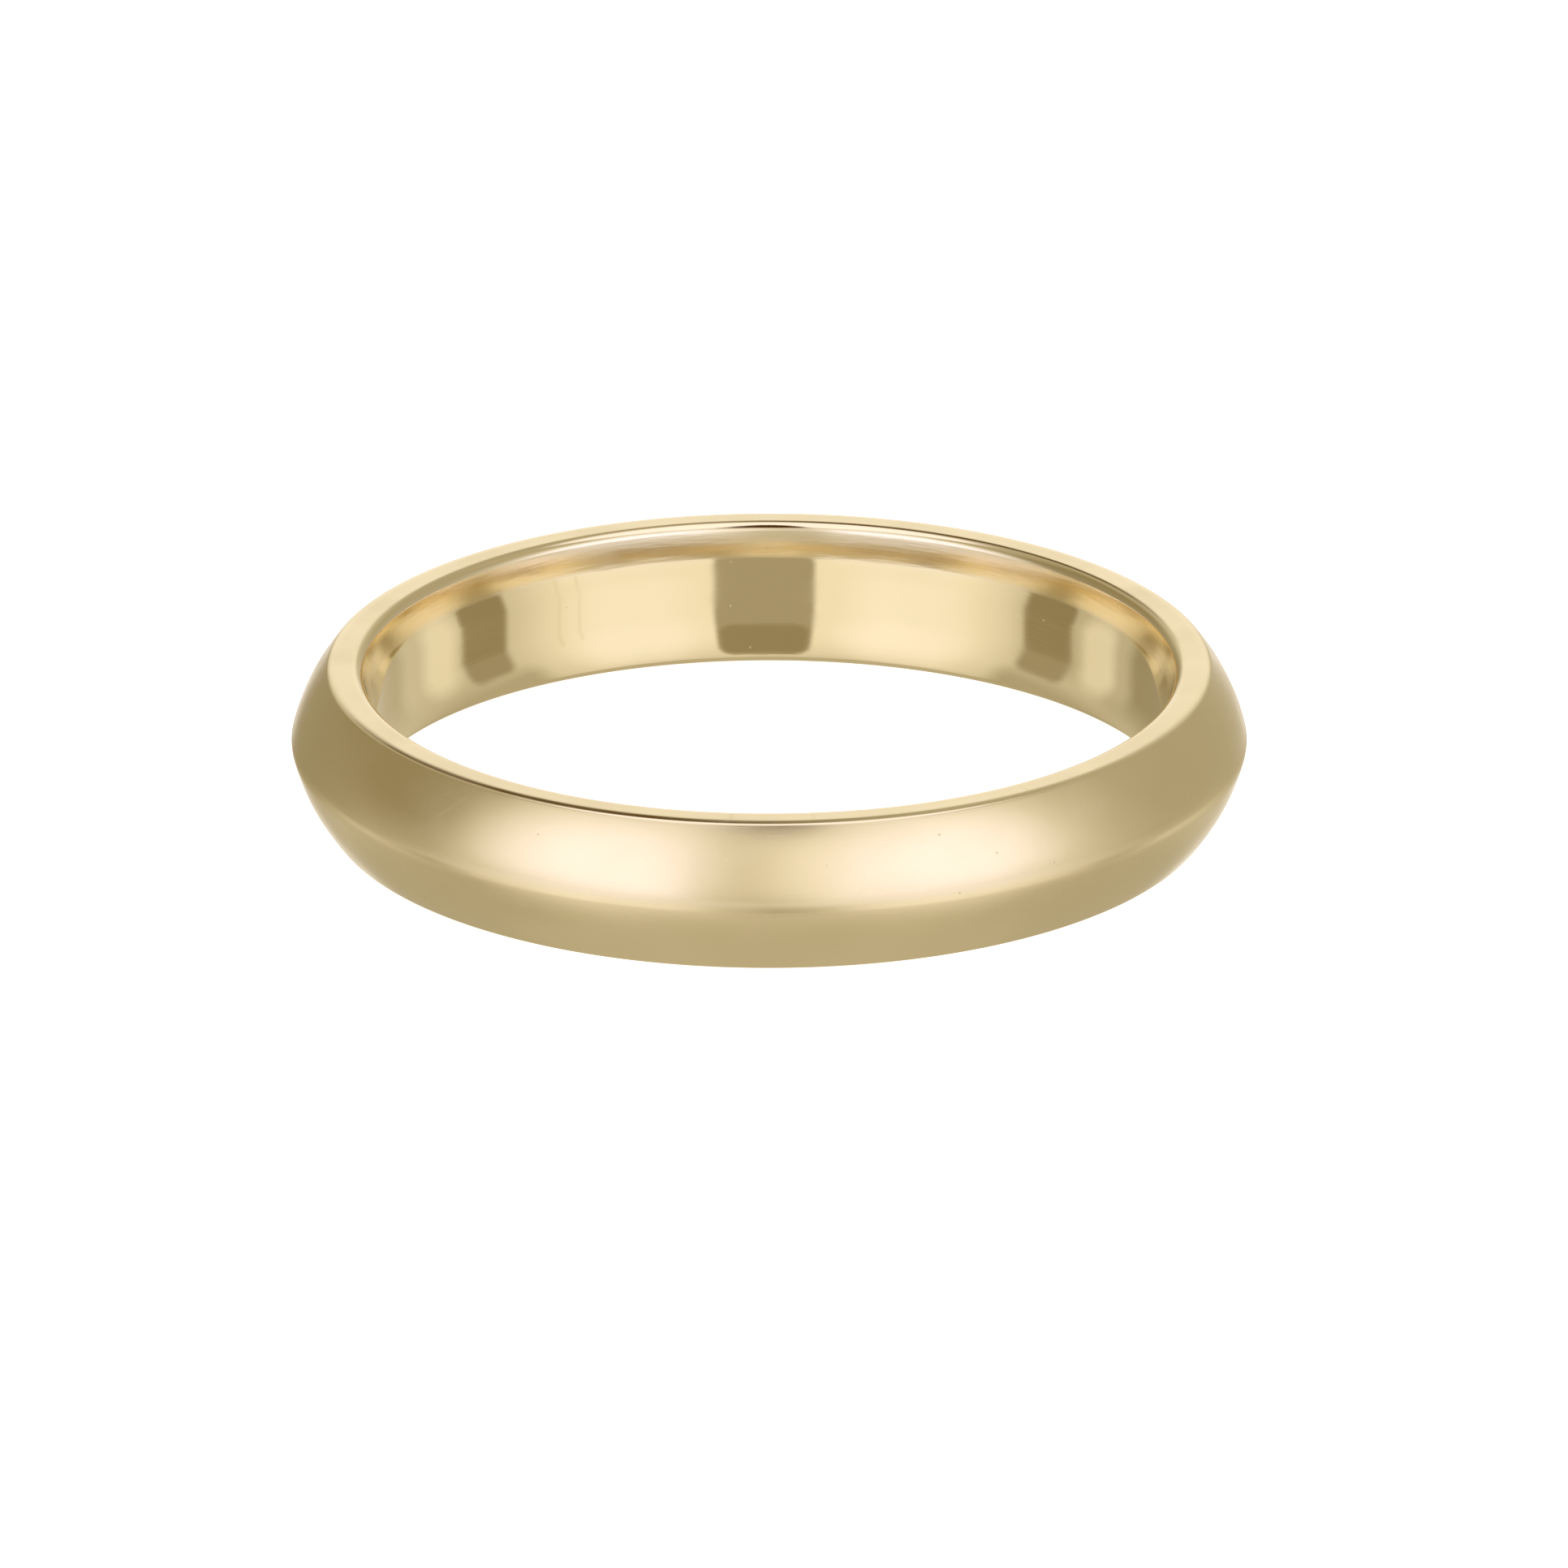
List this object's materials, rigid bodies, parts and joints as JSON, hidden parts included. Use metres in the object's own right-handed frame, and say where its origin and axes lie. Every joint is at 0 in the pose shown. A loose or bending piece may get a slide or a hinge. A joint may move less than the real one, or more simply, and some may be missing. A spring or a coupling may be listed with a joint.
{
  "type": "wedding band",
  "caption": "Plain wedding band in polished yellow gold, a solid ring whose outside rises to a soft ridge round the middle, with flat side faces and a bore that opens out softly at its ends.",
  "frame": {"origin": "on the ring's axis, in the plane of the side face that it lies on", "axes": "+Z along the ring's axis, up from the side face that it lies on; X and Y are any two directions across the ring, which is round"},
  "size_m": [0.0196, 0.0196, 0.0032],
  "materials": {
    "yellow_gold": "polished yellow gold, faint brushing round the bore and light wear outside"
  },
  "bodies": {
    "root": {"band": "yellow_gold"}
  },
  "joints": []
}
